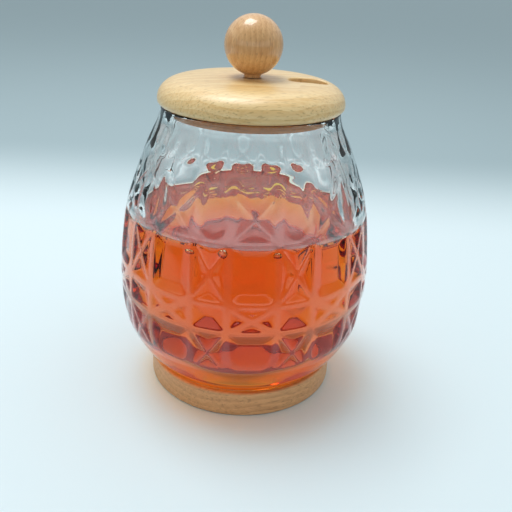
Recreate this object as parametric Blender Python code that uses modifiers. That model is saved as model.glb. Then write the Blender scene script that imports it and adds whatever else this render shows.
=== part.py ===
"""Honey pot: a pressed-glass jar of honey on a turned wooden base, with a wooden lid and its ball knob."""

import math

import bmesh
import bpy
from mathutils import Vector

# Heights are measured up from the table, radii from the upright axis, both in metres.
# An azimuth is measured from the front, which is -Y, round towards +X.
GAP = 0.0003
MERGE = 0.00001
EDGE_STEPS = 3
SHARP_ANGLE = math.radians(35.0)

BASE_RADIUS = 0.0364
BASE_HEIGHT = 0.0099
BASE_EDGE = 0.0008
RECESS_RADIUS = 0.0347
RECESS_DEPTH = 0.0027
BASE_STEPS = 60

BELLY_RADIUS = 0.0475
FOOT_RADIUS = 0.0343
FOOT_EDGE = 0.0010
RIM_HEIGHT = 0.1080
RIM_RADIUS = 0.0319
RIM_EDGE = 0.0010
WALL = 0.0040
NECK_BORE = 0.0288
NECK_FOOT = 0.1030
CAVITY_FLOOR = 0.0125
CAVITY_CORNER = 0.0090
CORNER_STEPS = 5
INNER_ROWS = 9
CAVITY_STEPS = 48

# The outer side of the glass, as height and radius over the ridges, from the foot to the neck.
SIDE = (
    (0.0100, 0.0347),
    (0.0165, 0.0403),
    (0.0280, 0.0460),
    (0.0430, BELLY_RADIUS),
    (0.0600, 0.0466),
    (0.0760, 0.0438),
    (0.0920, 0.0380),
    (0.1025, 0.0331),
    (0.1062, RIM_RADIUS),
)

# The lattice: ten repeats of a wide and a narrow column, crossed by level ridges.
REPEATS = 10
REPEAT_ANGLE = math.tau / REPEATS
WIDE_ANGLE = math.radians(20.4)
NARROW_ANGLE = REPEAT_ANGLE - WIDE_ANGLE
COLUMN_STEPS = 4
LATTICE_TURN = math.radians(4.0)
RIDGE_LEVELS = (0.0245, 0.0422, 0.0522, 0.0730)
# For each row of panels from the lowest up: the depth under the ridges and the width of the slopes.
ROW_SHAPES = ((0.0018, 0.0034), (0.0018, 0.0043), (0.0015, 0.0032), (0.0005, 0.0020))
FLUTE_TOP = 0.0940
FLUTE_CROSS_HEIGHT = 0.0155
FLUTE_FADE = 0.0070
PANEL_ROWS = 4
FLUTE_ROWS = 1
SHOULDER_ROWS = 3
FOOT_ROWS = 4
CREST = 0.0008
CORNER = 0.0045

HONEY_LEVEL = 0.0696
HONEY_ROWS = 6
HONEY_STEPS = 48

LID_RADIUS = 0.0331
LID_UNDERSIDE = RIM_HEIGHT + GAP
LID_TOP = 0.1176
LID_WAIST = 0.0015
LID_LOWER_RADIUS = 0.0325
LID_SQUARENESS = 0.27
PLUG_RADIUS = 0.0284
PLUG_DEPTH = 0.0038
LID_ROWS = 10
LID_STEPS = 56

SLOT_CENTRE = 0.0195
SLOT_LENGTH = 0.0142
SLOT_WIDTH = 0.0094
SLOT_END_STEPS = 10

KNOB_RADIUS = 0.0102
KNOB_CENTRE = 0.1285
NECK_RADIUS = 0.0029
KNOB_ROWS = 12
KNOB_STEPS = 28

WOOD_LID = (0.80, 0.60, 0.36)
WOOD_KNOB = (0.62, 0.37, 0.17)
WOOD_BASE = (0.45, 0.32, 0.19)
GLASS = (0.80, 0.90, 0.92)
HONEY = (0.72, 0.14, 0.01)


def clear_scene():
    """Take away what the scene holds at the start."""
    for old in list(bpy.data.objects):
        bpy.data.objects.remove(old, do_unlink=True)


def new_collection(name):
    """A collection in the scene."""
    group = bpy.data.collections.new(name)
    bpy.context.scene.collection.children.link(group)
    return group


def material(name, colour, roughness, transmission=0.0, ior=1.5):
    """A plain material of one colour."""
    made = bpy.data.materials.new(name)
    made.use_nodes = True
    shader = made.node_tree.nodes["Principled BSDF"]
    shader.inputs["Base Color"].default_value = (*colour, 1.0)
    shader.inputs["Roughness"].default_value = roughness
    shader.inputs["Metallic"].default_value = 0.0
    shader.inputs["Transmission Weight"].default_value = transmission
    shader.inputs["IOR"].default_value = ior
    return made


def arc(centre, radius, start, end, count):
    """Points of an arc as (radius, height); angles in degrees from straight outwards, up is positive."""
    points = []
    for index in range(count + 1):
        angle = math.radians(start + (end - start) * index / count)
        points.append((centre[0] + radius * math.cos(angle), centre[1] + radius * math.sin(angle)))
    return points


def turned(name, profile, steps, group):
    """A solid turned about the upright axis from (radius, height) points, listed from top to bottom."""
    outline = bmesh.new()
    corners = [outline.verts.new((radius, 0.0, height)) for radius, height in profile]
    for upper, lower in zip(corners, corners[1:]):
        outline.edges.new((upper, lower))
    mesh = bpy.data.meshes.new(name)
    outline.to_mesh(mesh)
    outline.free()
    made = bpy.data.objects.new(name, mesh)
    group.objects.link(made)
    screw = made.modifiers.new("turn", "SCREW")
    screw.steps = steps
    screw.render_steps = steps
    screw.use_merge_vertices = True
    screw.merge_threshold = MERGE
    screw.use_smooth_shade = True
    return made


def settle(made):
    """Put what the modifiers make into the object's own mesh."""
    evaluated = made.evaluated_get(bpy.context.evaluated_depsgraph_get())
    mesh = bpy.data.meshes.new_from_object(evaluated)
    made.modifiers.clear()
    made.data = mesh
    return made


def cut(made, cutter):
    """Take the cutter's shape out of an object."""
    boolean = made.modifiers.new("cut_" + cutter.name, "BOOLEAN")
    boolean.operation = "DIFFERENCE"
    boolean.object = cutter
    boolean.solver = "EXACT"
    cutter.hide_render = True
    cutter.display_type = "WIRE"


def shade(made):
    """Round sides smooth, real edges sharp."""
    made.data.shade_smooth()
    made.data.set_sharp_from_angle(angle=SHARP_ANGLE)


def side_radius(height):
    """Radius of the glass over its ridges, on a smooth curve through SIDE."""
    last = len(SIDE) - 1
    if height <= SIDE[0][0]:
        return SIDE[0][1]
    if height >= SIDE[last][0]:
        return SIDE[last][1]
    index = max(i for i in range(last) if SIDE[i][0] <= height)
    before = SIDE[max(index - 1, 0)]
    low = SIDE[index]
    high = SIDE[index + 1]
    after = SIDE[min(index + 2, last)]
    span = high[0] - low[0]
    low_slope = (high[1] - before[1]) / (high[0] - before[0])
    high_slope = (after[1] - low[1]) / (after[0] - low[0])
    t = (height - low[0]) / span
    rise = (3.0 - 2.0 * t) * t * t
    ease_low = t * (1.0 - t) ** 2
    ease_high = t * t * (t - 1.0)
    return low[1] + (high[1] - low[1]) * rise + span * (low_slope * ease_low + high_slope * ease_high)


def distance_to_line(point, start, end):
    """Distance from a point to a stretch of line, all on the unrolled side of the jar."""
    along = (end - start).normalized()
    reach = min(max((point - start).dot(along), 0.0), (end - start).length)
    return (point - start - along * reach).length


def distance_to_frame(across, height, half, bottom, top, corner):
    """Distance inwards from the sides of a panel with rounded corners."""
    middle = 0.5 * (bottom + top)
    over_x = abs(across) - half + corner
    over_z = abs(height - middle) - 0.5 * (top - bottom) + corner
    outside = math.hypot(max(over_x, 0.0), max(over_z, 0.0))
    return corner - outside - min(max(over_x, over_z), 0.0)


def panel_rows():
    """Bottom, top and cross height of each row of panels, from the lowest up."""
    rows = [(low, high, high - low) for low, high in zip(RIDGE_LEVELS, RIDGE_LEVELS[1:])]
    rows.append((RIDGE_LEVELS[-1], FLUTE_TOP, FLUTE_CROSS_HEIGHT))
    return rows


def distance_to_ridge(turn, height):
    """Distance to the nearest ridge of the lattice; turn is measured from the middle of a wide column."""
    turn = (turn + 0.5 * REPEAT_ANGLE) % REPEAT_ANGLE - 0.5 * REPEAT_ANGLE
    wide = abs(turn) <= 0.5 * WIDE_ANGLE
    if not wide:
        turn = turn - math.copysign(0.5 * REPEAT_ANGLE, turn)
    radius = side_radius(height)
    half = 0.5 * radius * (WIDE_ANGLE if wide else NARROW_ANGLE)
    across = turn * radius
    for index, (bottom, top, cross) in enumerate(panel_rows()):
        if not bottom <= height <= top:
            continue
        crossed = wide == (index % 2 == 1)
        if not crossed:
            return distance_to_frame(across, height, half, bottom, top, CORNER)
        nearest = distance_to_frame(across, height, half, bottom, top, 0.0)
        here = Vector((across, height))
        for side in (-half, half):
            arm = distance_to_line(here, Vector((side, bottom)), Vector((-side, bottom + cross)))
            nearest = min(nearest, arm)
        return nearest
    return 0.0


def recess(turn, height):
    """How deep the panels of the lattice lie under the ridges."""
    if not RIDGE_LEVELS[0] < height < FLUTE_TOP:
        return 0.0
    row = sum(height >= level for level in RIDGE_LEVELS) - 1
    depth, slope = ROW_SHAPES[row]
    share = min(max((distance_to_ridge(turn, height) - CREST) / slope, 0.0), 1.0)
    fade = min(max((FLUTE_TOP - height) / FLUTE_FADE, 0.0), 1.0)
    return depth * share * fade


def even_levels(low, high, count):
    """Heights from high down to just above low, evenly spaced."""
    return [high + (low - high) * index / count for index in range(count)]


def side_levels():
    """Heights of the rings of points on the side of the glass, from the top down."""
    cross_top = RIDGE_LEVELS[-1] + FLUTE_CROSS_HEIGHT
    levels = even_levels(FLUTE_TOP, SIDE[-1][0], SHOULDER_ROWS)
    levels += even_levels(cross_top, FLUTE_TOP, FLUTE_ROWS)
    panel_levels = RIDGE_LEVELS + (cross_top,)
    for low, high in reversed(list(zip(panel_levels, panel_levels[1:]))):
        levels += even_levels(low, high, PANEL_ROWS)
    levels += even_levels(SIDE[0][0], RIDGE_LEVELS[0], FOOT_ROWS)
    return levels


def column_turn(turn):
    """Where an evenly spaced point of the turned side goes, so that four steps fill each column."""
    step = REPEAT_ANGLE / (2 * COLUMN_STEPS)
    repeat = round(turn / REPEAT_ANGLE)
    place = turn / step - repeat * 2 * COLUMN_STEPS
    half = 0.5 * COLUMN_STEPS
    if abs(place) <= half:
        shifted = place * WIDE_ANGLE / COLUMN_STEPS
    else:
        shifted = math.copysign(0.5 * WIDE_ANGLE + (abs(place) - half) * NARROW_ANGLE / COLUMN_STEPS, place)
    return repeat * REPEAT_ANGLE + shifted


def press_lattice(made):
    """Space the columns of a turned side, push in the panels and swing the whole to its place on the jar."""
    for point in made.data.vertices:
        x, y, height = point.co
        turn = column_turn(math.atan2(y, x))
        radius = math.hypot(x, y) - recess(turn, height)
        turn += LATTICE_TURN - 0.5 * math.pi
        point.co = (radius * math.cos(turn), radius * math.sin(turn), height)


def split_along_ridges(made):
    """Halve each four-sided face so that its new edge follows the higher pair of corners."""
    shape = bmesh.new()
    shape.from_mesh(made.data)
    for face in list(shape.faces):
        if len(face.verts) != 4:
            continue
        corners = face.verts[:]
        lift = [Vector(corner.co.xy).length - side_radius(corner.co.z) for corner in corners]
        first = 0 if lift[0] + lift[2] > lift[1] + lift[3] else 1
        bmesh.utils.face_split(face, corners[first], corners[first + 2])
    shape.to_mesh(made.data)
    shape.free()


def foot_bottom():
    """Height of the underside of the glass, which stands in the base's recess."""
    return BASE_HEIGHT - RECESS_DEPTH + GAP


def cavity(group):
    """The hollow of the jar, used to cut it; it flares at the mouth to round the rim's inner edge."""
    inner = [(0.0, RIM_HEIGHT + WALL), (NECK_BORE + 2.0 * RIM_EDGE, RIM_HEIGHT + WALL)]
    inner += [(NECK_BORE + 1.2 * RIM_EDGE, RIM_HEIGHT + GAP)]
    inner += [(NECK_BORE + 0.3 * RIM_EDGE, RIM_HEIGHT - 0.6 * RIM_EDGE)]
    inner += [(NECK_BORE, RIM_HEIGHT - 1.5 * RIM_EDGE)]
    inner += cavity_side(NECK_FOOT, INNER_ROWS)
    return turned("jar_cavity", inner, CAVITY_STEPS, group)


def cavity_radius(height):
    """Radius of the inner wall at a height above the rounded bottom."""
    return side_radius(height) - WALL


def cavity_side(top, count, gap=0.0):
    """Points of the inner wall from a height down round the bottom corner to the middle."""
    start = CAVITY_FLOOR + CAVITY_CORNER
    points = []
    for index in range(count):
        height = top + (start - top) * index / count
        points.append((cavity_radius(height) - gap, height))
    corner_x = cavity_radius(start) - CAVITY_CORNER
    points += arc((corner_x, start), CAVITY_CORNER - gap, 0.0, -90.0, CORNER_STEPS)
    points.append((0.0, CAVITY_FLOOR + gap))
    return points


def build_jar(group, cutters):
    """The glass: a turned solid with the lattice pressed in its side and the hollow cut out."""
    foot = foot_bottom()
    profile = [(0.0, RIM_HEIGHT)]
    profile += arc((RIM_RADIUS - RIM_EDGE, RIM_HEIGHT - RIM_EDGE), RIM_EDGE, 90.0, 0.0, EDGE_STEPS)
    profile += [(side_radius(height), height) for height in side_levels()]
    profile += [(SIDE[0][1], SIDE[0][0])]
    profile += [(FOOT_RADIUS, foot + FOOT_EDGE)]
    profile += [(FOOT_RADIUS - FOOT_EDGE, foot), (0.0, foot)]
    jar = settle(turned("glass_jar", profile, REPEATS * 2 * COLUMN_STEPS, group))
    press_lattice(jar)
    split_along_ridges(jar)
    cut(jar, cavity(cutters))
    settle(jar)
    shade(jar)
    jar.data.materials.clear()
    jar.data.materials.append(material("clear_pressed_glass", GLASS, 0.03, 1.0, 1.52))
    return jar


def build_honey(group):
    """The honey: it fills the jar's hollow up to its level."""
    profile = [(0.0, HONEY_LEVEL)] + cavity_side(HONEY_LEVEL, HONEY_ROWS, GAP)
    honey = settle(turned("honey", profile, HONEY_STEPS, group))
    shade(honey)
    honey.data.materials.append(material("runny_honey", HONEY, 0.05, 0.6, 1.49))
    return honey


def lid_edge(count):
    """Points of the lid's domed top and round edge, from the middle outwards and down."""
    waist = LID_UNDERSIDE + LID_WAIST
    points = []
    for index in range(count + 1):
        angle = 0.5 * math.pi * index / count
        radius = LID_RADIUS * math.sin(angle) ** LID_SQUARENESS
        points.append((radius, waist + (LID_TOP - waist) * math.cos(angle)))
    return points


def slot_cutter(group):
    """The long round-ended hole for a stick, as a closed outline raised into a block."""
    outline = bpy.data.curves.new("stick_slot", "CURVE")
    outline.dimensions = "2D"
    outline.fill_mode = "BOTH"
    outline.extrude = LID_TOP - LID_UNDERSIDE + PLUG_DEPTH
    spline = outline.splines.new("POLY")
    radius = 0.5 * SLOT_WIDTH
    straight = 0.5 * SLOT_LENGTH - radius
    points = [(x + straight, y) for x, y in arc((0.0, 0.0), radius, -90.0, 90.0, SLOT_END_STEPS)]
    points += [(x - straight, y) for x, y in arc((0.0, 0.0), radius, 90.0, 270.0, SLOT_END_STEPS)]
    spline.points.add(len(points) - 1)
    for place, (x, y) in zip(spline.points, points):
        place.co = (x, y, 0.0, 1.0)
    spline.use_cyclic_u = True
    block = bpy.data.objects.new("stick_slot_outline", outline)
    group.objects.link(block)
    block.location = (SLOT_CENTRE, 0.0, LID_UNDERSIDE)
    bpy.context.view_layer.update()
    mesh = bpy.data.meshes.new_from_object(block.evaluated_get(bpy.context.evaluated_depsgraph_get()))
    solid = bmesh.new()
    solid.from_mesh(mesh)
    bmesh.ops.remove_doubles(solid, verts=solid.verts, dist=MERGE)
    bmesh.ops.recalc_face_normals(solid, faces=solid.faces)
    solid.to_mesh(mesh)
    solid.free()
    cutter = bpy.data.objects.new("stick_slot_cutter", mesh)
    cutter.matrix_world = block.matrix_world
    group.objects.link(cutter)
    bpy.data.objects.remove(block, do_unlink=True)
    return cutter


def build_lid(group, cutters):
    """The lid: a domed disc with a plug under it and a slot through both."""
    profile = lid_edge(LID_ROWS)
    profile += [(LID_LOWER_RADIUS, LID_UNDERSIDE), (PLUG_RADIUS, LID_UNDERSIDE)]
    profile += [(PLUG_RADIUS, LID_UNDERSIDE - PLUG_DEPTH + BASE_EDGE)]
    profile += [(PLUG_RADIUS - BASE_EDGE, LID_UNDERSIDE - PLUG_DEPTH), (0.0, LID_UNDERSIDE - PLUG_DEPTH)]
    lid = settle(turned("wooden_lid", profile, LID_STEPS, group))
    cut(lid, slot_cutter(cutters))
    settle(lid)
    shade(lid)
    lid.data.materials.clear()
    lid.data.materials.append(material("pale_lid_wood", WOOD_LID, 0.45))
    return lid


def build_knob(group):
    """The knob: a ball on a short foot."""
    foot_angle = math.degrees(math.asin(NECK_RADIUS / KNOB_RADIUS))
    profile = arc((0.0, KNOB_CENTRE), KNOB_RADIUS, 90.0, foot_angle - 90.0, KNOB_ROWS)
    profile[0] = (0.0, KNOB_CENTRE + KNOB_RADIUS)
    profile += [(NECK_RADIUS, LID_TOP + GAP), (0.0, LID_TOP + GAP)]
    knob = settle(turned("knob", profile, KNOB_STEPS, group))
    shade(knob)
    knob.data.materials.append(material("knob_wood", WOOD_KNOB, 0.40))
    return knob


def build_base(group):
    """The base: a low disc with a shallow recess for the foot of the glass."""
    floor = BASE_HEIGHT - RECESS_DEPTH
    profile = [(0.0, floor), (RECESS_RADIUS, floor), (RECESS_RADIUS, BASE_HEIGHT)]
    profile += arc((BASE_RADIUS - BASE_EDGE, BASE_HEIGHT - BASE_EDGE), BASE_EDGE, 90.0, 0.0, EDGE_STEPS)
    profile += [(BASE_RADIUS, BASE_EDGE), (BASE_RADIUS - BASE_EDGE, 0.0), (0.0, 0.0)]
    base = settle(turned("wooden_base", profile, BASE_STEPS, group))
    shade(base)
    base.data.materials.append(material("base_wood", WOOD_BASE, 0.55))
    return base


def main():
    """Build every piece of the pot."""
    clear_scene()
    pot = new_collection("honey_pot")
    cutters = new_collection("cutters")
    build_base(pot)
    build_jar(pot, cutters)
    build_honey(pot)
    build_lid(pot, cutters)
    build_knob(pot)


main()
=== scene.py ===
"""The looks of a honey pot: pressed glass, clear honey with its bubbles, turned wood, and a pale studio."""

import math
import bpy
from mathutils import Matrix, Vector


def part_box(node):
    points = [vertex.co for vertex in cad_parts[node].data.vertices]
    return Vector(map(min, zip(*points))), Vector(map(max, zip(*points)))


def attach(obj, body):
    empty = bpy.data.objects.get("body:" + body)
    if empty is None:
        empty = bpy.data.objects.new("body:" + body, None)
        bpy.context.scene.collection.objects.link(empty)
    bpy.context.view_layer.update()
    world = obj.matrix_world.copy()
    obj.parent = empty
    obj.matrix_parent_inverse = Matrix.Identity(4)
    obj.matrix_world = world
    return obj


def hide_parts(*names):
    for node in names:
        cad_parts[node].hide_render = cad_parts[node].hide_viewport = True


bl_info = {
    "name": "Honey Pot",
    "version": (1, 0, 0),
    "blender": (4, 5, 0),
    "location": "3D View > Sidebar > Honey Pot",
    "description": "Builds the pressed glass, honey, bubbles, wooden lid, knob and base, and the studio",
    "category": "Object",
}

import bmesh
import bpy
import numpy as np
from bpy.props import FloatProperty, FloatVectorProperty, PointerProperty
from mathutils import Matrix, Vector

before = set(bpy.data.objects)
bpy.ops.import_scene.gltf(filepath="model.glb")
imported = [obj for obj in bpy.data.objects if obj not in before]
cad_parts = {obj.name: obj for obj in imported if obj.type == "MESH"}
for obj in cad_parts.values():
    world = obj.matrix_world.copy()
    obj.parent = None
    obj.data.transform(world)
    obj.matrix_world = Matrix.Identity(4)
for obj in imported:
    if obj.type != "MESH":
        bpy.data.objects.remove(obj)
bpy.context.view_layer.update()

# Lengths are metres, heights are measured up from the table and radii from the pot's upright axis.
# An azimuth is measured from the front, which is -Y, round towards +X.
MM = 0.001
GLASS_LOW, GLASS_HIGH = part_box("glass_jar")
HONEY_LOW, HONEY_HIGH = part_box("honey")
LID_LOW, LID_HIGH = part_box("wooden_lid")
KNOB_LOW, KNOB_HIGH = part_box("knob")
BASE_LOW, BASE_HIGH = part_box("wooden_base")

# The outer side of the glass, as height and radius over the ridges, from the foot to the neck.
RIM_RADIUS = 31.9 * MM
SIDE = (
    (10.0 * MM, 34.7 * MM),
    (16.5 * MM, 40.3 * MM),
    (28.0 * MM, 46.0 * MM),
    (43.0 * MM, 47.5 * MM),
    (60.0 * MM, 46.6 * MM),
    (76.0 * MM, 43.8 * MM),
    (92.0 * MM, 38.0 * MM),
    (102.5 * MM, 33.1 * MM),
    (106.2 * MM, RIM_RADIUS),
)
FOOT_RADIUS = 34.3 * MM
CAVITY_FLOOR = 12.5 * MM
CAVITY_CORNER = 9.0 * MM
WALL = 4.0 * MM
NECK_FOOT = 103.0 * MM
NECK_BORE = 28.8 * MM
RIM_EDGE = 1.0 * MM

# The lattice pressed into the glass: ten repeats of a wide and a narrow column, crossed by level ridges.
REPEATS = 10
REPEAT_ANGLE = math.tau / REPEATS
WIDE_ANGLE = math.radians(20.4)
NARROW_ANGLE = REPEAT_ANGLE - WIDE_ANGLE
WIDE_COLUMNS = 28
NARROW_COLUMNS = 20
LATTICE_TURN = math.radians(4.0)
RIDGE_LEVELS = (24.5 * MM, 42.2 * MM, 52.2 * MM, 73.0 * MM)
# For each row of panels from the lowest up: its top, the height of its crosses, its share of the full
# depth, the width of its slopes, its share of bottom slope, half a cross arm's top, and its lower and
# upper corners.
PANEL_ROWS = (
    (42.2 * MM, 17.7 * MM, 0.65, 3.4 * MM, 0.35, 0.4 * MM, 4.0 * MM, 2.2 * MM),
    (52.2 * MM, 10.0 * MM, 1.00, 4.3 * MM, 1.0, 0.9 * MM, 2.0 * MM, 2.0 * MM),
    (73.0 * MM, 20.8 * MM, 0.80, 3.2 * MM, 1.0, 0.4 * MM, 4.0 * MM, 2.2 * MM),
    (95.0 * MM, 15.5 * MM, 0.25, 1.8 * MM, 1.0, 0.3 * MM, 6.0 * MM, 2.0 * MM),
)
CROSS_BLEND = 0.2 * MM
PANEL_TOP = 93.0 * MM
PANEL_FADE = 7.0 * MM
# How far below a ridge's crest its extra gloss has gone, and the share of that gloss on the neck.
CREST_DROP = 0.30 * MM
NECK_POLISH = 0.25
# The heights of the rows of points on the foot, over the lattice and on the rim.
FOOT_ROW_HEIGHT = 1.2 * MM
ROW_HEIGHT = 0.56 * MM
RIM_ROW_HEIGHT = 1.0 * MM
INNER_COLUMNS = 120
INNER_ROWS = 40
CORNER_STEPS = 12
EDGE_STEPS = 6
WETTED_TOP = HONEY_HIGH.z + 0.9 * MM
# The slow waves of the glass: times round the pot, radians for each metre of height, phase, and share.
WAVES = (
    (3.0, 90.0, 0.0, 0.5),
    (7.0, -140.0, 1.3, 0.3),
    (5.0, 260.0, 0.4, 0.2),
)
GLASS_INDEX = 1.52

# The ring of short round-bottomed flutes under the rim.
FLUTES = 24
FLUTE_TURN = math.radians(-3.0)
FLUTE_BOTTOM = 94.0 * MM
FLUTE_TOP = 105.0 * MM
FLUTE_FADE = 7.0 * MM
FLUTE_SLOPE = 2.2 * MM
FLUTE_CREST = 0.4 * MM

# The honey's surface climbs the wall over this length, and is level from its end inwards.
CLIMB_LENGTH = 1.5 * MM
CLIMB_START = 0.1 * MM
CLIMB_END = 9.0 * MM
CLIMB_STEPS = 16
HONEY_ROWS = 60
HONEY_COLUMNS = 240
HONEY_INDEX = 1.49
# Faces steeper than this, or below this height, touch glass and are no free surface.
FREE_SURFACE_TILT = 0.4
FREE_SURFACE_LOW = 60.0 * MM

# Bubbles against the front wall: azimuth in degrees, height of the centre, radius, and flattening.
WALL_BUBBLES = (
    (-9.5, 67.9 * MM, 1.45 * MM, 1.0),
    (-25.0, 67.0 * MM, 1.30 * MM, 0.6),
    (15.0, 67.9 * MM, 1.00 * MM, 1.0),
    (31.0, 68.4 * MM, 0.55 * MM, 1.0),
    (29.5, 66.0 * MM, 0.35 * MM, 1.0),
)
# Bubbles under the surface: place from the axis, x and y, and radius.
SURFACE_BUBBLES = (
    (4.0 * MM, 24.0 * MM, 1.3 * MM),
    (-17.0 * MM, 17.0 * MM, 0.9 * MM),
    (-27.0 * MM, 2.0 * MM, 0.8 * MM),
    (-28.5 * MM, 4.5 * MM, 0.6 * MM),
    (-25.5 * MM, 5.5 * MM, 0.7 * MM),
    (-24.0 * MM, 0.5 * MM, 0.5 * MM),
    (-22.5 * MM, 3.0 * MM, 0.6 * MM),
)
BUBBLE_THICKNESS = 0.9
BUBBLE_GAP = 0.1 * MM
BUBBLE_SINK = 1.05

LID_WAIST = LID_LOW.z + 5.3 * MM
PLUG_TOP = LID_LOW.z + 3.8 * MM
PLUG_RADIUS = 28.4 * MM
LID_LOWER_RADIUS = 32.5 * MM
LID_LOWER_EDGE = 0.3 * MM
LID_SQUARENESS = 0.27
LID_COLUMNS = 216
LID_STEPS = 48
PLUG_BEVEL = 0.7 * MM
SLOT_CENTRE = 19.5 * MM
SLOT_LENGTH = 14.2 * MM
SLOT_WIDTH = 9.4 * MM
SLOT_FILLET = 0.7 * MM
SLOT_FILLET_ANGLES = (0.0, 20.0, 40.0, 60.0, 78.0)
SLOT_STEPS = 12
LID_GRAIN_TURN = math.radians(13.0)

KNOB_NECK = 2.9 * MM
KNOB_FLARE = 0.4 * MM
KNOB_COLUMNS = 96
KNOB_STEPS = 60

BASE_EDGE = 0.9 * MM
BASE_COLUMNS = 192
RECESS_RADIUS = 34.7 * MM
RECESS_DEPTH = 2.7 * MM
RECESS_EDGE = 0.15 * MM

# The floor reaches this far each way, and turns greyer between these distances behind and in front.
FLOOR_REACH = 12.0
FAR_FLOOR = (0.14, 0.34)
NEAR_FLOOR = (-0.12, -0.20)
# Where the even light changes, as the upward or backward part of a direction.
BACK_LIGHT_RISE = (0.10, 0.40)
FRONT_LIGHT_RISE = (0.20, 0.36)
FRONT_TO_BACK = (-0.6, -0.1)
LAMP_PLACE = (-0.16, 0.14, 0.90)
LAMP_TARGET = (0.0, 0.0, 0.05)
LAMP_SIZE = 0.4

# The camera that the picture was taken with, worked out from the pot's rims, ridges and outline.
PICTURE_SIZE = 512
FOCAL_PIXELS = 653.0
SENSOR_WIDTH = 36.0
CAMERA_PLACE = Vector((0.0, -233.0 * MM, 155.8 * MM))
CAMERA_PITCH = math.radians(24.58)
CAMERA_YAW = math.radians(1.083)
CAMERA_ROLL = math.radians(2.9)
CAMERA_CLIP = 0.01

CLEAR_WHITE = (1.0, 1.0, 1.0, 1.0)


def linear(code):
    """An sRGB hex colour as linear red, green, blue."""
    channels = [int(code[i:i + 2], 16) / 255.0 for i in (1, 3, 5)]
    return tuple(c / 12.92 if c <= 0.04045 else ((c + 0.055) / 1.055) ** 2.4 for c in channels)


def colour(name, description, code):
    """A colour setting."""
    return FloatVectorProperty(name=name, description=description, default=linear(code), subtype="COLOR",
                               size=3, min=0.0, max=1.0)


def length(name, description, default):
    """A length setting, in metres."""
    return FloatProperty(name=name, description=description, default=default, min=0.0, precision=5,
                         subtype="DISTANCE", unit="LENGTH")


def share(name, description, default, top=1.0):
    """A plain number setting."""
    return FloatProperty(name=name, description=description, default=default, min=0.0, max=top)


class GlassSettings(bpy.types.PropertyGroup):
    """Sizes and tint of the pressed glass."""
    panel_depth: length("Panel depth", "How deep the panels lie under the ridges", 1.6 * MM)
    crest: length("Crest", "Half the width of a level ridge's top", 0.8 * MM)
    flute_depth: length("Flute depth", "How deep the short flutes under the rim are", 0.45 * MM)
    wave: length("Waviness", "Height of the slow waves left by pressing", 0.05 * MM)
    tint: colour("Tint", "Faint cool tint of the glass", "#FCFFFE")
    frost: colour("Frost", "Colour of the ground glass under the foot", "#C9C2B0")
    panel_polish: share("Panel polish", "Extra gloss in the panels and on the foot", 0.12)
    crest_polish: share("Crest polish", "Extra gloss on the crests of the ridges", 0.85)


class HoneySettings(bpy.types.PropertyGroup):
    """Level, colour and bubbles of the honey."""
    rise: length("Rise at the wall", "How far the honey climbs the glass", 1.0 * MM)
    overlap: length("Overlap", "How far the honey reaches into the glass wall", 0.3 * MM)
    colour: colour("Colour", "Colour that the honey lets through", "#FEF000")
    density: share("Colour density", "Absorption for each metre of honey", 200.0, 2000.0)


class WoodSettings(bpy.types.PropertyGroup):
    """Colours of the turned wood."""
    lid: colour("Lid", "Wood of the lid", "#F3D6A0")
    lid_dark: colour("Lid grain", "Darker grain of the lid", "#D6A65C")
    # The plug is the lid's beech painted darker and orange: painted shade under the lid and the painted
    # glow of light through the honey.
    plug: colour("Plug", "Wood of the plug under the lid", "#E29A58")
    knob: colour("Knob", "Wood of the knob", "#E4B883")
    knob_dark: colour("Knob grain", "Darker grain of the knob", "#C28A54")
    base: colour("Base", "Wood of the base", "#DDAF80")
    base_dark: colour("Base grain", "Darker grain of the base", "#B2835A")


class StageSettings(bpy.types.PropertyGroup):
    """Floor, backdrop and light of the studio."""
    floor: colour("Floor", "Colour of the pale floor round the pot", "#DBE8EC")
    far_floor: colour("Far floor", "Colour of the floor well behind the pot", "#A7B8BD")
    near_floor: colour("Near floor", "Colour of the floor well in front of the pot", "#828E92")
    overhead: share("Overhead", "Power of the light overhead, in watts", 3.4, 1000.0)
    sky: colour("Sky", "Colour of the even light", "#EAF2F5")
    low_back: share("Low light behind", "Strength of the even light low behind and beside", 0.42, 10.0)
    high_back: share("High light behind", "Strength of the even light high behind and beside", 0.80, 10.0)
    low_front: share("Low light in front", "Strength of the even light low in front", 1.10, 10.0)
    high_front: share("High light in front", "Strength of the even light high in front", 0.40, 10.0)


class PotSettings(bpy.types.PropertyGroup):
    """All the settings of the honey pot."""
    glass: PointerProperty(type=GlassSettings, name="Glass", description="Sizes and tint of the glass")
    honey: PointerProperty(type=HoneySettings, name="Honey", description="Level and colour of the honey")
    wood: PointerProperty(type=WoodSettings, name="Wood", description="Colours of the wood")
    stage: PointerProperty(type=StageSettings, name="Stage", description="Floor, backdrop and lights")


def add(tree, kind, settings=None, inputs=None):
    """Add one node with its settings, its values and the links into it."""
    node = tree.nodes.new(kind)
    for name, value in (settings or {}).items():
        setattr(node, name, value)
    for name, value in (inputs or {}).items():
        if isinstance(value, bpy.types.NodeSocket):
            tree.links.new(value, node.inputs[name])
        else:
            node.inputs[name].default_value = value
    return node


def new_material(name):
    """A material with only an output node; returns it with its tree and that node."""
    made = bpy.data.materials.new(name)
    made.use_nodes = True
    made.node_tree.nodes.clear()
    output = add(made.node_tree, "ShaderNodeOutputMaterial")
    return made, made.node_tree, output


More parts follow.
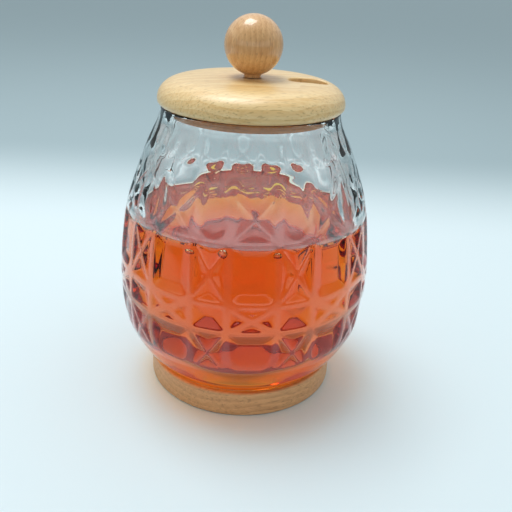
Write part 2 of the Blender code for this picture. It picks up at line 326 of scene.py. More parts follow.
def skin(name, rings):
    """A closed mesh through rings of points, each listed counter-clockwise seen from above.

    A ring may have a whole number of times the points of the next one, or the other way round.
    """
    points = []
    starts = []
    for ring in rings:
        starts.append(len(points))
        points.extend(map(tuple, ring))
    faces = [list(range(starts[0], starts[0] + len(rings[0])))[::-1]]
    for here, there, a, b in zip(starts, starts[1:], rings, rings[1:]):
        count = min(len(a), len(b))
        step_a = len(a) // count
        step_b = len(b) // count
        for i in range(count):
            lower = [here + (i * step_a + k) % len(a) for k in range(step_a + 1)]
            upper = [there + (i * step_b + k) % len(b) for k in range(step_b + 1)]
            faces.append(lower + upper[::-1])
    faces.append(list(range(starts[-1], starts[-1] + len(rings[-1]))))
    mesh = bpy.data.meshes.new(name)
    mesh.from_pydata(points, [], faces)
    mesh.update()
    made = bpy.data.objects.new(name, mesh)
    bpy.context.scene.collection.objects.link(made)
    return made


def round_rings(profile, columns):
    """Rings of points for a plain turned profile of (radius, height)."""
    turns = np.arange(columns) * math.tau / columns
    across = np.sin(turns)
    along = -np.cos(turns)
    return [np.column_stack((r * across, r * along, np.full(columns, z))) for r, z in profile]


def arc(centre, radius, start, end, count):
    """Points of an arc as (radius, height); angles in degrees from straight outwards, up is positive."""
    angles = np.radians(np.linspace(start, end, count + 1))
    return [(centre[0] + radius * math.cos(a), centre[1] + radius * math.sin(a)) for a in angles]


def finish_piece(made, node, material, sharp=35.0):
    """Shade a piece, give it its material and let it stand for its CAD node."""
    made.data.shade_smooth()
    made.data.set_sharp_from_angle(angle=math.radians(sharp))
    if material:
        made.data.materials.append(material)
    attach(made, "root")
    if node:
        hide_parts(node)
    return made


def side_radius(height):
    """Radius of the glass over its ridges at each height, on a smooth curve through SIDE."""
    heights = np.array([h for h, r in SIDE])
    radii = np.array([r for h, r in SIDE])
    last = len(SIDE) - 1
    before = np.maximum(np.arange(last + 1) - 1, 0)
    after = np.minimum(np.arange(last + 1) + 1, last)
    slopes = (radii[after] - radii[before]) / (heights[after] - heights[before])
    level = np.clip(np.asarray(height, float), heights[0], heights[-1])
    low = np.clip(np.searchsorted(heights, level, side="right") - 1, 0, last - 1)
    span = heights[low + 1] - heights[low]
    t = (level - heights[low]) / span
    rise = (3.0 - 2.0 * t) * t * t
    ease = slopes[low] * t * (1.0 - t) ** 2 + slopes[low + 1] * t * t * (t - 1.0)
    return radii[low] + (radii[low + 1] - radii[low]) * rise + span * ease


def distance_to_line(x, z, start, end):
    """Distance from points to a stretch of line, on the unrolled side of the jar."""
    run = np.array(end) - np.array(start)
    size = math.hypot(*run)
    along = np.clip(((x - start[0]) * run[0] + (z - start[1]) * run[1]) / size, 0.0, size)
    return np.hypot(x - start[0] - along * run[0] / size, z - start[1] - along * run[1] / size)


def softer_least(distances, blend):
    """The least of several distances, with the crease between them rounded off."""
    total = sum(np.exp(-d / blend) for d in distances)
    return -blend * np.log(total)


def frame_distance(across, height, half, bottom, top, lower, upper):
    """Distance inwards from the sides of a panel whose lower and upper corners are rounded differently."""
    middle = 0.5 * (bottom + top)
    corner = np.where(height < middle, lower, upper)
    over_x = np.abs(across) - half + corner
    over_z = np.abs(height - middle) - 0.5 * (top - bottom) + corner
    outside = np.hypot(np.maximum(over_x, 0.0), np.maximum(over_z, 0.0))
    return corner - outside - np.minimum(np.maximum(over_x, over_z), 0.0)


def ridge_distance(turn, height, row, odd, crest):
    """Distance to the nearest ridge for the points of one level ring in a row of panels.

    Odd rows have their crosses in the wide columns, and even rows in the narrow ones.
    """
    top, cross, depth, slope, foot, arm, lower, upper = PANEL_ROWS[row]
    bottom = RIDGE_LEVELS[row]
    turn = (turn + 0.5 * REPEAT_ANGLE) % REPEAT_ANGLE - 0.5 * REPEAT_ANGLE
    wide = np.abs(turn) <= 0.5 * WIDE_ANGLE
    radius = float(side_radius(height))
    across = np.where(wide, turn, turn - np.copysign(0.5 * REPEAT_ANGLE, turn)) * radius
    half = 0.5 * radius * np.where(wide, WIDE_ANGLE, NARROW_ANGLE)
    eased = bottom + (height - bottom) * foot
    plain = frame_distance(across, eased, half, bottom, top, lower, upper)
    plain = np.minimum(plain, top - height)
    ways = [half - np.abs(across)]
    ways += [np.full_like(half, eased - bottom), np.full_like(half, top - height)]
    reach = 0.5 * radius * (WIDE_ANGLE if odd else NARROW_ANGLE)
    for side in (-reach, reach):
        way = distance_to_line(across, height, (side, bottom), (-side, bottom + cross))
        ways.append(way + crest - arm)
    return np.where(wide == odd, softer_least(ways, CROSS_BLEND), plain)


def panel_recess(turn, height, glass):
    """How deep the panels lie under the ridges for the points of one level ring."""
    if not RIDGE_LEVELS[0] < height < PANEL_TOP:
        return np.zeros_like(turn)
    row = sum(height >= level for level in RIDGE_LEVELS) - 1
    depth, slope = PANEL_ROWS[row][2:4]
    inside = ridge_distance(turn, height, row, row % 2 == 1, glass.crest)
    t = np.clip((inside - glass.crest) / slope, 0.0, 1.0)
    fade = min((PANEL_TOP - height) / PANEL_FADE, 1.0)
    return glass.panel_depth * depth * t * fade * fade * (3.0 - 2.0 * fade)


def flute_recess(azimuth, height, glass):
    """How deep the short flutes under the rim are for the points of one level ring."""
    if not FLUTE_BOTTOM < height < FLUTE_TOP:
        return np.zeros_like(azimuth)
    pitch = math.tau / FLUTES
    radius = float(side_radius(height))
    across = ((azimuth - FLUTE_TURN + 0.5 * pitch) % pitch - 0.5 * pitch) * radius
    half = 0.5 * pitch * radius
    inside = half - np.hypot(across, min(height - FLUTE_BOTTOM - half, 0.0))
    t = np.clip((inside - FLUTE_CREST) / FLUTE_SLOPE, 0.0, 1.0)
    return glass.flute_depth * t * min((FLUTE_TOP - height) / FLUTE_FADE, 1.0)


def crest_share(depth, height):
    """How near the points of one level ring are to the crests of the ridges, from 0 to 1."""
    if height < RIDGE_LEVELS[0]:
        return np.zeros_like(depth)
    nearness = np.clip(1.0 - depth / CREST_DROP, 0.0, 1.0)
    return nearness * (1.0 if height < PANEL_TOP - PANEL_FADE else NECK_POLISH)


def column_turns():
    """Turns of the columns of points round the jar, with columns lying on the upright ridges."""
    wide = (np.arange(WIDE_COLUMNS) / WIDE_COLUMNS - 0.5) * WIDE_ANGLE
    narrow = 0.5 * WIDE_ANGLE + np.arange(NARROW_COLUMNS) / NARROW_COLUMNS * NARROW_ANGLE
    one = np.concatenate((wide, narrow))
    return np.concatenate([one + k * REPEAT_ANGLE for k in range(REPEATS)])


def spaced(low, high, step):
    """Evenly spaced heights from low up to just below high."""
    count = max(1, round((high - low) / step))
    return list(low + (high - low) * np.arange(count) / count)


def pressing_wave(turn, height, size):
    """Slow shallow waves over the glass, as left by the mould and the fire polish."""
    waves = (part * np.sin(count * turn + rise * height + phase) for count, rise, phase, part in WAVES)
    return size * sum(waves)


def cavity_profile(top, grow, wall_rows):
    """The inner wall as (radius, height) from a height down round the bottom corner."""
    start = CAVITY_FLOOR + CAVITY_CORNER
    heights = np.linspace(top, start, wall_rows)
    points = [(float(side_radius(h)) - WALL + grow, float(h)) for h in heights]
    corner_x = float(side_radius(start)) - WALL - CAVITY_CORNER
    points += arc((corner_x, start), CAVITY_CORNER + grow, 0.0, -90.0, CORNER_STEPS)[1:]
    return points


def build_glass(glass):
    """The jar as one closed skin: foot, pressed outer side, fire-polished rim and smooth inner wall."""
    turns = column_turns()
    azimuth = turns + LATTICE_TURN
    foot = GLASS_LOW.z
    top = GLASS_HIGH.z
    edge = RIM_EDGE

    def ring(radius, height):
        reach = radius - np.abs(pressing_wave(azimuth, height, glass.wave))
        level = np.full(len(azimuth), height)
        return np.column_stack((reach * np.sin(azimuth), -reach * np.cos(azimuth), level))

    rings = [ring(FOOT_RADIUS - 3.0 * edge, foot)]
    rings += [ring(r, z) for r, z in arc((FOOT_RADIUS - edge, foot + edge), edge, -90.0, 0.0, 4)]
    crests = [np.zeros(len(turns))] * len(rings)
    heights = spaced(SIDE[0][0], RIDGE_LEVELS[0], FOOT_ROW_HEIGHT)
    stops = RIDGE_LEVELS + (FLUTE_TOP,)
    for low, high in zip(stops, stops[1:]):
        heights += spaced(low, high, ROW_HEIGHT)
    heights += spaced(FLUTE_TOP, top - edge, RIM_ROW_HEIGHT)
    for height in heights:
        depth = panel_recess(turns, height, glass) + flute_recess(azimuth, height, glass)
        rings.append(ring(side_radius(height) - depth, height))
        crests.append(crest_share(depth, height))
    rings += [ring(r, z) for r, z in arc((RIM_RADIUS - edge, top - edge), edge, 0.0, 90.0, EDGE_STEPS)]
    inner = arc((NECK_BORE + edge, top - edge), edge, 90.0, 180.0, EDGE_STEPS)
    inner += [(NECK_BORE, 0.5 * (top - edge + NECK_FOOT))]
    inner += cavity_profile(NECK_FOOT, 0.0, INNER_ROWS)
    rings += round_rings(inner, INNER_COLUMNS)
    crests += [np.zeros(len(each)) for each in rings[len(crests):]]
    jar = skin("pressed_glass_jar", rings)
    crest = jar.data.attributes.new("crest", "FLOAT", "POINT")
    crest.data.foreach_set("value", np.concatenate(crests))
    jar.data.materials.append(soda_lime_glass("pressed_soda_lime_glass", glass, GLASS_INDEX, True))
    jar.data.materials.append(soda_lime_glass("soda_lime_glass_wetted_by_honey", glass, 1.0, False))
    jar.data.materials.append(ground_glass(glass))
    near = 0.1 * MM
    for face in jar.data.polygons:
        height = face.center.z
        outwards = face.normal.x * face.center.x + face.normal.y * face.center.y
        inner_side = outwards < 0.0 or face.normal.z > 0.5
        if height < foot + near:
            face.material_index = 2
        elif inner_side and CAVITY_FLOOR - near < height < WETTED_TOP:
            face.material_index = 1
    return jar


def let_lamps_through(tree, shader, output):
    """Let the lamps shine straight through a clear surface, less the part that it mirrors."""
    path = add(tree, "ShaderNodeLightPath")
    through = add(tree, "ShaderNodeBsdfTransparent", None, {"Color": (0.92, 0.92, 0.92, 1.0)})
    both = add(tree, "ShaderNodeMixShader", None, {
        0: path.outputs["Is Shadow Ray"], 1: shader.outputs[0], 2: through.outputs[0],
    })
    tree.links.new(both.outputs[0], output.inputs["Surface"])


def ground_glass(glass):
    """Ground glass under the foot: frosted, so it glows with the light that glass and honey let down."""
    made, tree, output = new_material("ground_soda_lime_glass")
    place = add(tree, "ShaderNodeTexCoord")
    grit = add(tree, "ShaderNodeTexNoise", None, {
        "Vector": place.outputs["Object"], "Scale": 1.0 / (0.5 * MM), "Detail": 2.0,
    })
    frost = add(tree, "ShaderNodeBump", None, {
        "Height": grit.outputs[0], "Strength": 0.4, "Distance": 0.05 * MM,
    })
    shader = add(tree, "ShaderNodeBsdfPrincipled", None, {
        "Base Color": (*glass.frost, 1.0), "Roughness": 0.6, "IOR": GLASS_INDEX, "Transmission Weight": 0.3,
        "Normal": frost.outputs[0],
    })
    tree.links.new(shader.outputs[0], output.inputs["Surface"])
    return made


def soda_lime_glass(name, glass, index, polished):
    """Clear soda-lime glass, pressed and fire polished: bright ridges, clear panels and a faint cool tint.

    Where honey wets the glass the index is 1, which lets the light go straight on.
    """
    made, tree, output = new_material(name)
    place = add(tree, "ShaderNodeTexCoord")
    ripple = add(tree, "ShaderNodeTexNoise", None, {
        "Vector": place.outputs["Object"], "Scale": 1.0 / (7.0 * MM), "Detail": 1.0,
    })
    skin_bump = add(tree, "ShaderNodeBump", None, {
        "Height": ripple.outputs[0], "Strength": 0.5, "Distance": 0.05 * MM,
    })
    shader = add(tree, "ShaderNodeBsdfPrincipled", None, {
        "Base Color": (*glass.tint, 1.0), "Roughness": 0.0, "IOR": index, "Transmission Weight": 1.0,
        "Normal": skin_bump.outputs[0], "Coat IOR": 1.7, "Coat Roughness": 0.02,
    })
    if polished:
        crest = add(tree, "ShaderNodeAttribute", {"attribute_name": "crest"})
        polish = add(tree, "ShaderNodeMapRange", None, {
            "Value": crest.outputs["Fac"], "To Min": glass.panel_polish, "To Max": glass.crest_polish,
        })
        tree.links.new(polish.outputs[0], shader.inputs["Coat Weight"])
    let_lamps_through(tree, shader, output)
    return made


def runny_honey(honey):
    """Clear runny honey, strained: deep orange through its whole width, amber where it is thin.

    Its free surface mirrors and bends light as it does in air. Where it wets the glass the light goes
    straight on, because honey bends light nearly as much as glass.
    """
    made, tree, output = new_material("runny_honey")
    place = add(tree, "ShaderNodeTexCoord")
    height = add(tree, "ShaderNodeSeparateXYZ", None, {"Vector": place.outputs["Object"]})
    facing = add(tree, "ShaderNodeNewGeometry")
    upward = add(tree, "ShaderNodeSeparateXYZ", None, {"Vector": facing.outputs["True Normal"]})
    lying = add(tree, "ShaderNodeMath", {"operation": "ABSOLUTE"}, {0: upward.outputs["Z"]})
    level = add(tree, "ShaderNodeMath", {"operation": "GREATER_THAN"}, {
        0: lying.outputs[0], 1: FREE_SURFACE_TILT,
    })
    high = add(tree, "ShaderNodeMath", {"operation": "GREATER_THAN"}, {
        0: height.outputs["Z"], 1: FREE_SURFACE_LOW,
    })
    free = add(tree, "ShaderNodeMath", {"operation": "MULTIPLY"}, {0: level.outputs[0], 1: high.outputs[0]})
    surface = add(tree, "ShaderNodeBsdfPrincipled", None, {
        "Base Color": CLEAR_WHITE, "Roughness": 0.0, "IOR": HONEY_INDEX, "Transmission Weight": 1.0,
        "Specular IOR Level": 0.25,
    })
    wetting = add(tree, "ShaderNodeBsdfTransparent")
    both = add(tree, "ShaderNodeMixShader", None, {
        0: free.outputs[0], 1: wetting.outputs[0], 2: surface.outputs[0],
    })
    body = add(tree, "ShaderNodeVolumeAbsorption", None, {
        "Color": (*honey.colour, 1.0), "Density": honey.density,
    })
    let_lamps_through(tree, both, output)
    tree.links.new(body.outputs[0], output.inputs["Volume"])
    return made


def build_honey(honey):
    """The honey: it reaches just into the glass, and its surface climbs a little at the wall."""
    level = HONEY_HIGH.z
    side = cavity_profile(level + honey.rise, honey.overlap, HONEY_ROWS)
    reach = side[0][0]
    surface = []
    for back in np.geomspace(CLIMB_START, CLIMB_END, CLIMB_STEPS):
        climb = honey.rise * math.exp(-back / CLIMB_LENGTH)
        surface.append((reach - honey.overlap - back, level + climb))
    profile = side[::-1] + surface + [(0.5 * reach, level)]
    return skin("runny_honey_body", round_rings(profile, HONEY_COLUMNS))


def air_in_honey():
    """Air caught in honey: light bends the other way, so a bubble is a bright ring with a dark side."""
    made, tree, output = new_material("air_in_honey")
    shader = add(tree, "ShaderNodeBsdfPrincipled", None, {
        "Base Color": CLEAR_WHITE, "Roughness": 0.0, "IOR": 1.0 / HONEY_INDEX, "Transmission Weight": 1.0,
    })
    let_lamps_through(tree, shader, output)
    return made


def build_bubbles():
    """All the air bubbles in the honey, as one piece."""
    shape = bmesh.new()
    for degrees, height, radius, flat in WALL_BUBBLES:
        turn = math.radians(degrees)
        reach = float(side_radius(height)) - WALL - radius * BUBBLE_THICKNESS - BUBBLE_GAP
        place = Matrix.Translation((reach * math.sin(turn), -reach * math.cos(turn), height))
        size = Matrix.Diagonal((1.0, BUBBLE_THICKNESS, flat, 1.0))
        bmesh.ops.create_uvsphere(shape, u_segments=32, v_segments=20, radius=radius,
                                  matrix=place @ Matrix.Rotation(turn, 4, "Z") @ size)
    for x, y, radius in SURFACE_BUBBLES:
        place = Matrix.Translation((x, y, HONEY_HIGH.z - radius * BUBBLE_SINK))
        bmesh.ops.create_uvsphere(shape, u_segments=24, v_segments=16, radius=radius, matrix=place)
    mesh = bpy.data.meshes.new("air_bubbles")
    shape.to_mesh(mesh)
    shape.free()
    made = bpy.data.objects.new("air_bubbles", mesh)
    bpy.context.scene.collection.objects.link(made)
    return made


def lid_height(radius):
    """Height of the lid's domed top at a distance from the axis."""
    fall = (radius / lid_radius()) ** (2.0 / LID_SQUARENESS)
    return LID_WAIST + (LID_HIGH.z - LID_WAIST) * math.sqrt(max(0.0, 1.0 - fall))


def lid_radius():
    """The lid's greatest radius."""
    return 0.5 * (LID_HIGH.x - LID_LOW.x)


def build_lid():
    """The lid: a domed disc with a round edge and a plug, and a slot with softened edges through both."""
    reach = lid_radius()
    rise = LID_HIGH.z - LID_WAIST
    angles = np.linspace(0.5 * math.pi, 0.0, LID_STEPS + 1)[:-1]
    dome = [(reach * math.sin(a) ** LID_SQUARENESS, LID_WAIST + rise * math.cos(a)) for a in angles]
    profile = [(0.4 * PLUG_RADIUS, LID_LOW.z)]
    profile += arc((PLUG_RADIUS - PLUG_BEVEL, LID_LOW.z + PLUG_BEVEL), PLUG_BEVEL, -90.0, 0.0, 5)
    profile += [(PLUG_RADIUS, PLUG_TOP), (LID_LOWER_RADIUS - LID_LOWER_EDGE, PLUG_TOP)]
    profile += [(LID_LOWER_RADIUS, PLUG_TOP + LID_LOWER_EDGE)]
    middle = 0.5 * (LID_LOWER_RADIUS + reach + LID_LOWER_EDGE)
    profile += [(middle, 0.5 * (PLUG_TOP + LID_WAIST))]
    lid = skin("slotted_lid", round_rings(profile + dome, LID_COLUMNS))
    cutter = slot_cutter()
    cut = lid.modifiers.new("slot", "BOOLEAN")
    cut.object = cutter
    cut.solver = "EXACT"
    evaluated = lid.evaluated_get(bpy.context.evaluated_depsgraph_get())
    mesh = bpy.data.meshes.new_from_object(evaluated)
    lid.modifiers.clear()
    lid.data = mesh
    bpy.data.objects.remove(cutter, do_unlink=True)
    return lid


def slot_outline(grow):
    """The slot's round-ended outline, grown outwards, counter-clockwise seen from above."""
    radius = 0.5 * SLOT_WIDTH + grow
    straight = 0.5 * (SLOT_LENGTH - SLOT_WIDTH)
    points = []
    for side, start in ((1.0, -90.0), (-1.0, 90.0)):
        centre = SLOT_CENTRE + side * straight
        for angle in np.radians(np.linspace(start, start + 180.0, SLOT_STEPS + 1)):
            points.append((centre + radius * math.cos(angle), radius * math.sin(angle)))
    return points


def slot_cutter():
    """The shape that the slot takes out of the lid: it flares at the top to round the slot's edge over."""
    below = LID_LOW.z - 1.0 * MM
    above = LID_HIGH.z + 2.0 * MM
    rings = [[(x, y, below) for x, y in slot_outline(0.0)]]
    for angle in np.radians(SLOT_FILLET_ANGLES):
        outline = slot_outline(SLOT_FILLET * (1.0 - math.cos(angle)))
        depth = SLOT_FILLET * (1.0 - math.sin(angle))
        rings.append([(x, y, lid_height(math.hypot(x, y)) - depth) for x, y in outline])
    outline = slot_outline(1.3 * SLOT_FILLET)
    rings.append([(x, y, lid_height(math.hypot(x, y)) + 0.5 * MM) for x, y in outline])
    rings.append([(x, y, above) for x, y in outline])
    return skin("slot_cutter", rings)


def build_knob():
    """The knob: a ball on a short turned foot."""
    radius = 0.5 * (KNOB_HIGH.x - KNOB_LOW.x)
    centre = KNOB_HIGH.z - radius
    low = KNOB_LOW.z
    foot_angle = math.degrees(math.asin((KNOB_NECK + 0.3 * MM) / radius)) - 90.0
    ball = arc((0.0, centre), radius, foot_angle, 88.0, KNOB_STEPS)
    profile = [(0.5 * KNOB_NECK, low), (KNOB_NECK + KNOB_FLARE, low), (KNOB_NECK, low + 0.25 * MM)]
    profile += [(KNOB_NECK, 0.5 * (ball[0][1] + low))]
    return skin("ball_knob", round_rings(profile + ball, KNOB_COLUMNS))


def build_base():
    """The base: a low turned disc with softened edges and a recess that holds the foot of the glass."""
    radius = 0.5 * (BASE_HIGH.x - BASE_LOW.x)
    top = BASE_HIGH.z
    soft = BASE_EDGE
    recess = top - RECESS_DEPTH
    profile = [(radius - 6.0 * soft, 0.0)]
    profile += arc((radius - soft, soft), soft, -90.0, 0.0, EDGE_STEPS)
    profile += arc((radius - soft, top - soft), soft, 0.0, 80.0, EDGE_STEPS)
    profile += [(RECESS_RADIUS + 0.1 * MM, top), (RECESS_RADIUS, top - RECESS_EDGE)]
    profile += [(RECESS_RADIUS, recess), (RECESS_RADIUS - 4.0 * soft, recess)]
    return skin("turned_base", round_rings(profile, BASE_COLUMNS))


def lacquered_beech(name, pale, dark, grain_axis, ring_spacing, flecks, coat=0.15, coat_roughness=0.25):
    """Beech, turned, sanded and clear lacquered: pale and satin, with faint rings and fine dark flecks.

    The grain axis is where the flecks draw out to lines; across it they are dots.
    """
    made, tree, output = new_material(name)
    place = add(tree, "ShaderNodeTexCoord")
    turn = Vector((1.0, 0.0, 0.0)).rotation_difference(Vector(grain_axis)).inverted().to_euler()
    along = add(tree, "ShaderNodeMapping", {"vector_type": "POINT"}, {
        "Vector": place.outputs["Object"], "Rotation": turn,
    })
    # The rings wander by up to 4 mm over about 22 mm, and their pith lies off the pot's axis.
    drift = add(tree, "ShaderNodeTexNoise", None, {
        "Vector": along.outputs[0], "Scale": 45.0, "Detail": 2.0,
    })
    bent = add(tree, "ShaderNodeVectorMath", {"operation": "MULTIPLY_ADD"}, {
        0: drift.outputs["Color"], 1: (4.0 * MM, 4.0 * MM, 4.0 * MM), 2: along.outputs[0],
    })
    pith = add(tree, "ShaderNodeMapping", None, {
        "Vector": bent.outputs[0], "Location": (0.0, 23.0 * MM, -70.0 * MM), "Scale": (0.08, 1.0, 1.0),
    })
    rings = add(tree, "ShaderNodeTexWave", {
        "wave_type": "RINGS", "rings_direction": "X", "wave_profile": "SAW",
    }, {"Vector": pith.outputs[0], "Scale": math.tau / (20.0 * ring_spacing), "Distortion": 0.0})
    fibre_place = add(tree, "ShaderNodeMapping", None, {
        "Vector": along.outputs[0], "Scale": (0.06, 1.0, 1.0),
    })
    fibre = add(tree, "ShaderNodeTexNoise", None, {
        "Vector": fibre_place.outputs[0], "Scale": 1.0 / (0.9 * MM), "Detail": 3.0, "Roughness": 0.6,
    })
    # Real flecks are about 0.3 mm across; they are drawn 0.5 mm across so that they show.
    fleck_place = add(tree, "ShaderNodeMapping", None, {
        "Vector": along.outputs[0], "Scale": (0.16, 1.0, 1.0),
    })
    fleck = add(tree, "ShaderNodeTexNoise", None, {
        "Vector": fleck_place.outputs[0], "Scale": 1.0 / (0.5 * MM), "Detail": 1.0, "Roughness": 0.5,
    })
    fleck_mask = add(tree, "ShaderNodeMapRange", {"interpolation_type": "SMOOTHSTEP"}, {
        "Value": fleck.outputs[0], "From Min": 0.56, "From Max": 0.70, "To Min": 0.0, "To Max": flecks,
    })
    ring_share = add(tree, "ShaderNodeMath", {"operation": "MULTIPLY"}, {0: rings.outputs["Fac"], 1: 0.35})
    fibre_share = add(tree, "ShaderNodeMapRange", None, {
        "Value": fibre.outputs[0], "From Min": 0.35, "From Max": 0.70, "To Min": 0.0, "To Max": 0.40,
    })
    grain = add(tree, "ShaderNodeMath", {"operation": "ADD", "use_clamp": True}, {
        0: ring_share.outputs[0], 1: fibre_share.outputs[0],
    })
    tone = add(tree, "ShaderNodeMix", {"data_type": "RGBA"}, {
        0: grain.outputs[0], 6: (*pale, 1.0), 7: (*dark, 1.0),
    })
    darker = add(tree, "ShaderNodeMix", {"data_type": "RGBA"}, {
        0: fleck_mask.outputs[0], 6: tone.outputs[2], 7: tuple(0.55 * c for c in dark) + (1.0,),
    })
    gloss = add(tree, "ShaderNodeMapRange", None, {
        "Value": fibre.outputs[0], "From Min": 0.3, "From Max": 0.7, "To Min": 0.38, "To Max": 0.50,
    })
    bump = add(tree, "ShaderNodeBump", None, {
        "Height": fibre.outputs[0], "Strength": 0.12, "Distance": 0.2 * MM,
    })
    shader = add(tree, "ShaderNodeBsdfPrincipled", None, {
        "Base Color": darker.outputs[2], "Roughness": gloss.outputs[0], "Normal": bump.outputs[0],
        "IOR": 1.5, "Coat Weight": coat, "Coat Roughness": coat_roughness,
    })
    tree.links.new(shader.outputs[0], output.inputs["Surface"])
    return made


def softbox(name, place, target, size, power):
    """A square soft light aimed at a point."""
    lamp = bpy.data.lights.new(name, "AREA")
    lamp.shape = "SQUARE"
    lamp.size = size
    lamp.energy = power
    made = bpy.data.objects.new(name, lamp)
    made.location = place
    made.rotation_euler = (Vector(target) - Vector(place)).to_track_quat("-Z", "Y").to_euler()
    bpy.context.scene.collection.objects.link(made)
    return made


def build_floor(stage):
    """A wide flat floor."""
    corners = [(x * FLOOR_REACH, y * FLOOR_REACH, 0.0) for x, y in ((-1, -1), (1, -1), (1, 1), (-1, 1))]
    mesh = bpy.data.meshes.new("studio_floor")
    mesh.from_pydata(corners, [], [(0, 1, 2, 3)])
    made = bpy.data.objects.new("studio_floor", mesh)
    bpy.context.scene.collection.objects.link(made)
    made.data.materials.append(matt_paper(stage))
    return made


def matt_paper(stage):
    """Matt studio paper: even and pale round the pot, greyer far behind it and in front of it."""
    made, tree, output = new_material("matt_studio_paper")
    place = add(tree, "ShaderNodeTexCoord")
    parts = add(tree, "ShaderNodeSeparateXYZ", None, {"Vector": place.outputs["Object"]})
    back = add(tree, "ShaderNodeMapRange", {"interpolation_type": "SMOOTHSTEP"}, {
        "Value": parts.outputs["Y"], "From Min": FAR_FLOOR[0], "From Max": FAR_FLOOR[1],
    })
    front = add(tree, "ShaderNodeMapRange", {"interpolation_type": "SMOOTHSTEP"}, {
        "Value": parts.outputs["Y"], "From Min": NEAR_FLOOR[0], "From Max": NEAR_FLOOR[1],
    })
    far = add(tree, "ShaderNodeMix", {"data_type": "RGBA"}, {
        0: back.outputs[0], 6: (*stage.floor, 1.0), 7: (*stage.far_floor, 1.0),
    })
    tone = add(tree, "ShaderNodeMix", {"data_type": "RGBA"}, {
        0: front.outputs[0], 6: far.outputs[2], 7: (*stage.near_floor, 1.0),
    })
    shader = add(tree, "ShaderNodeBsdfPrincipled", None, {"Base Color": tone.outputs[2], "Roughness": 0.75})
    tree.links.new(shader.outputs[0], output.inputs["Surface"])
    return made


def soft_surroundings(stage):
    """Even light from all round: brighter high up behind and at the sides, and low in front."""
    world = bpy.data.worlds.new("soft_surroundings")
    world.use_nodes = True
    tree = world.node_tree
    place = add(tree, "ShaderNodeTexCoord")
    parts = add(tree, "ShaderNodeSeparateXYZ", None, {"Vector": place.outputs["Generated"]})
    behind = add(tree, "ShaderNodeMapRange", {"interpolation_type": "SMOOTHSTEP"}, {
        "Value": parts.outputs["Z"], "From Min": BACK_LIGHT_RISE[0], "From Max": BACK_LIGHT_RISE[1],
        "To Min": stage.low_back, "To Max": stage.high_back,
    })
    ahead = add(tree, "ShaderNodeMapRange", {"interpolation_type": "SMOOTHSTEP"}, {
        "Value": parts.outputs["Z"], "From Min": FRONT_LIGHT_RISE[0], "From Max": FRONT_LIGHT_RISE[1],
        "To Min": stage.low_front, "To Max": stage.high_front,
    })
    side = add(tree, "ShaderNodeMapRange", {"interpolation_type": "SMOOTHSTEP"}, {
        "Value": parts.outputs["Y"], "From Min": FRONT_TO_BACK[0], "From Max": FRONT_TO_BACK[1],
    })
    strength = add(tree, "ShaderNodeMix", {"data_type": "FLOAT"}, {
        0: side.outputs[0], 2: ahead.outputs[0], 3: behind.outputs[0],
    })
    sky = tree.nodes["Background"]
    sky.inputs["Color"].default_value = (*stage.sky, 1.0)
    tree.links.new(strength.outputs[0], sky.inputs["Strength"])
    return world


def build_camera():
    """The camera, looking down on the pot from the front."""
    cos_pitch = math.cos(CAMERA_PITCH)
    ahead = Vector((
        math.sin(CAMERA_YAW) * cos_pitch, math.cos(CAMERA_YAW) * cos_pitch, -math.sin(CAMERA_PITCH),
    ))
    level = Vector((math.cos(CAMERA_YAW), -math.sin(CAMERA_YAW), 0.0))
    above = level.cross(ahead)
    right = math.cos(CAMERA_ROLL) * level + math.sin(CAMERA_ROLL) * above
    up = -math.sin(CAMERA_ROLL) * level + math.cos(CAMERA_ROLL) * above
    lens = bpy.data.cameras.new("picture_camera")
    lens.sensor_width = SENSOR_WIDTH
    lens.lens = SENSOR_WIDTH * FOCAL_PIXELS / PICTURE_SIZE
    lens.clip_start = CAMERA_CLIP
    made = bpy.data.objects.new("picture_camera", lens)
    bpy.context.scene.collection.objects.link(made)
    turn = Matrix((right, up, -ahead)).transposed()
    made.matrix_world = Matrix.Translation(CAMERA_PLACE) @ turn.to_4x4()
    bpy.context.scene.camera = made
    return made


class HONEYPOT_OT_stage(bpy.types.Operator):
    """Make the floor, backdrop, lights and camera."""
    bl_idname = "honeypot.stage"
    bl_label = "Stage"

    def execute(self, context):
        stage = context.scene.honey_pot.stage
        build_floor(stage)
        softbox("overhead_softbox", LAMP_PLACE, LAMP_TARGET, LAMP_SIZE, stage.overhead)
        context.scene.world = soft_surroundings(stage)
        context.scene.view_settings.view_transform = "Standard"
        context.scene.view_settings.look = "Medium High Contrast"
        context.scene.cycles.max_bounces = 24
        context.scene.cycles.transmission_bounces = 24
        context.scene.cycles.transparent_max_bounces = 32
        build_camera()
        return {"FINISHED"}


class HONEYPOT_OT_glass(bpy.types.Operator):
    """Make the pressed-glass jar."""
    bl_idname = "honeypot.glass"
    bl_label = "Glass"

    def execute(self, context):
        glass = context.scene.honey_pot.glass
        finish_piece(build_glass(glass), "glass_jar", None, 50.0)
        return {"FINISHED"}


class HONEYPOT_OT_honey(bpy.types.Operator):
    """Make the honey."""
    bl_idname = "honeypot.honey"
    bl_label = "Honey"

    def execute(self, context):
        honey = context.scene.honey_pot.honey
        finish_piece(build_honey(honey), "honey", runny_honey(honey), 60.0)
        return {"FINISHED"}


class HONEYPOT_OT_bubbles(bpy.types.Operator):
    """Make the air bubbles in the honey."""
    bl_idname = "honeypot.bubbles"
    bl_label = "Bubbles"

    def execute(self, context):
        finish_piece(build_bubbles(), None, air_in_honey(), 80.0)
        return {"FINISHED"}


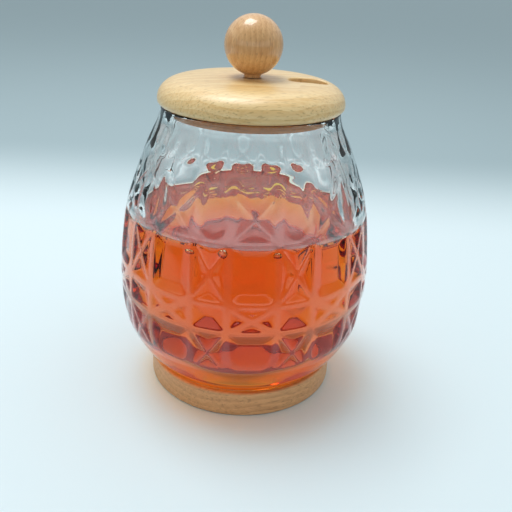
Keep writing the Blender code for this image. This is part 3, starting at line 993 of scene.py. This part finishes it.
class HONEYPOT_OT_lid(bpy.types.Operator):
    """Make the slotted wooden lid."""
    bl_idname = "honeypot.lid"
    bl_label = "Lid"

    def execute(self, context):
        wood = context.scene.honey_pot.wood
        grain = (math.cos(LID_GRAIN_TURN), math.sin(LID_GRAIN_TURN), 0.0)
        spacing = 2.4 * MM
        # The plug's colour and its darker grain both carry painted shade and a painted orange glow from the
        # honey.
        plug_dark = tuple(0.6 * c for c in wood.plug)
        made = build_lid()
        made.data.materials.clear()
        made.data.materials.append(lacquered_beech(
            "lacquered_beech_lid", wood.lid, wood.lid_dark, grain, spacing, 0.4, 1.0, 0.38))
        # The plug's material is beech with painted shade and a painted orange honey glow in its colour.
        made.data.materials.append(lacquered_beech(
            "beech_plug_painted_shade_and_honey_glow", wood.plug, plug_dark, grain, spacing, 0.3))
        for face in made.data.polygons:
            face.material_index = int(face.center.z < PLUG_TOP - 0.01 * MM)
        finish_piece(made, "wooden_lid", None)
        return {"FINISHED"}


class HONEYPOT_OT_knob(bpy.types.Operator):
    """Make the ball knob."""
    bl_idname = "honeypot.knob"
    bl_label = "Knob"

    def execute(self, context):
        wood = context.scene.honey_pot.wood
        grain = (0.05, 0.0, 1.0)
        beech = lacquered_beech(
            "lacquered_beech_knob", wood.knob, wood.knob_dark, grain, 1.9 * MM, 0.3, 0.9, 0.12)
        finish_piece(build_knob(), "knob", beech)
        return {"FINISHED"}


class HONEYPOT_OT_base(bpy.types.Operator):
    """Make the turned wooden base."""
    bl_idname = "honeypot.base"
    bl_label = "Base"

    def execute(self, context):
        wood = context.scene.honey_pot.wood
        grain = (1.0, 0.3, 0.0)
        beech = lacquered_beech("lacquered_beech_base", wood.base, wood.base_dark, grain, 2.6 * MM, 0.35)
        finish_piece(build_base(), "wooden_base", beech)
        return {"FINISHED"}


PIECES = (
    HONEYPOT_OT_stage,
    HONEYPOT_OT_glass,
    HONEYPOT_OT_honey,
    HONEYPOT_OT_bubbles,
    HONEYPOT_OT_lid,
    HONEYPOT_OT_knob,
    HONEYPOT_OT_base,
)


class HONEYPOT_PT_panel(bpy.types.Panel):
    """The pieces and the settings of the honey pot."""
    bl_idname = "HONEYPOT_PT_panel"
    bl_label = "Honey Pot"
    bl_space_type = "VIEW_3D"
    bl_region_type = "UI"
    bl_category = "Honey Pot"

    def draw(self, context):
        for piece in PIECES:
            self.layout.operator(piece.bl_idname)
        settings = context.scene.honey_pot
        for group in (settings.glass, settings.honey, settings.wood, settings.stage):
            box = self.layout.box()
            for name in group.__annotations__:
                box.prop(group, name)


GROUPS = (GlassSettings, HoneySettings, WoodSettings, StageSettings, PotSettings)
CLASSES = GROUPS + PIECES + (HONEYPOT_PT_panel,)


def register():
    """Register the settings, operators and panel."""
    for each in CLASSES:
        bpy.utils.register_class(each)
    bpy.types.Scene.honey_pot = PointerProperty(
        type=PotSettings, name="Honey pot", description="Settings of the honey pot")


def unregister():
    """Take the settings, operators and panel away again."""
    del bpy.types.Scene.honey_pot
    for each in reversed(CLASSES):
        bpy.utils.unregister_class(each)


def main():
    """Build every piece in order."""
    register()
    bpy.ops.honeypot.stage()
    bpy.ops.honeypot.glass()
    bpy.ops.honeypot.honey()
    bpy.ops.honeypot.bubbles()
    bpy.ops.honeypot.lid()
    bpy.ops.honeypot.knob()
    bpy.ops.honeypot.base()


if __name__ == "__main__":
    main()
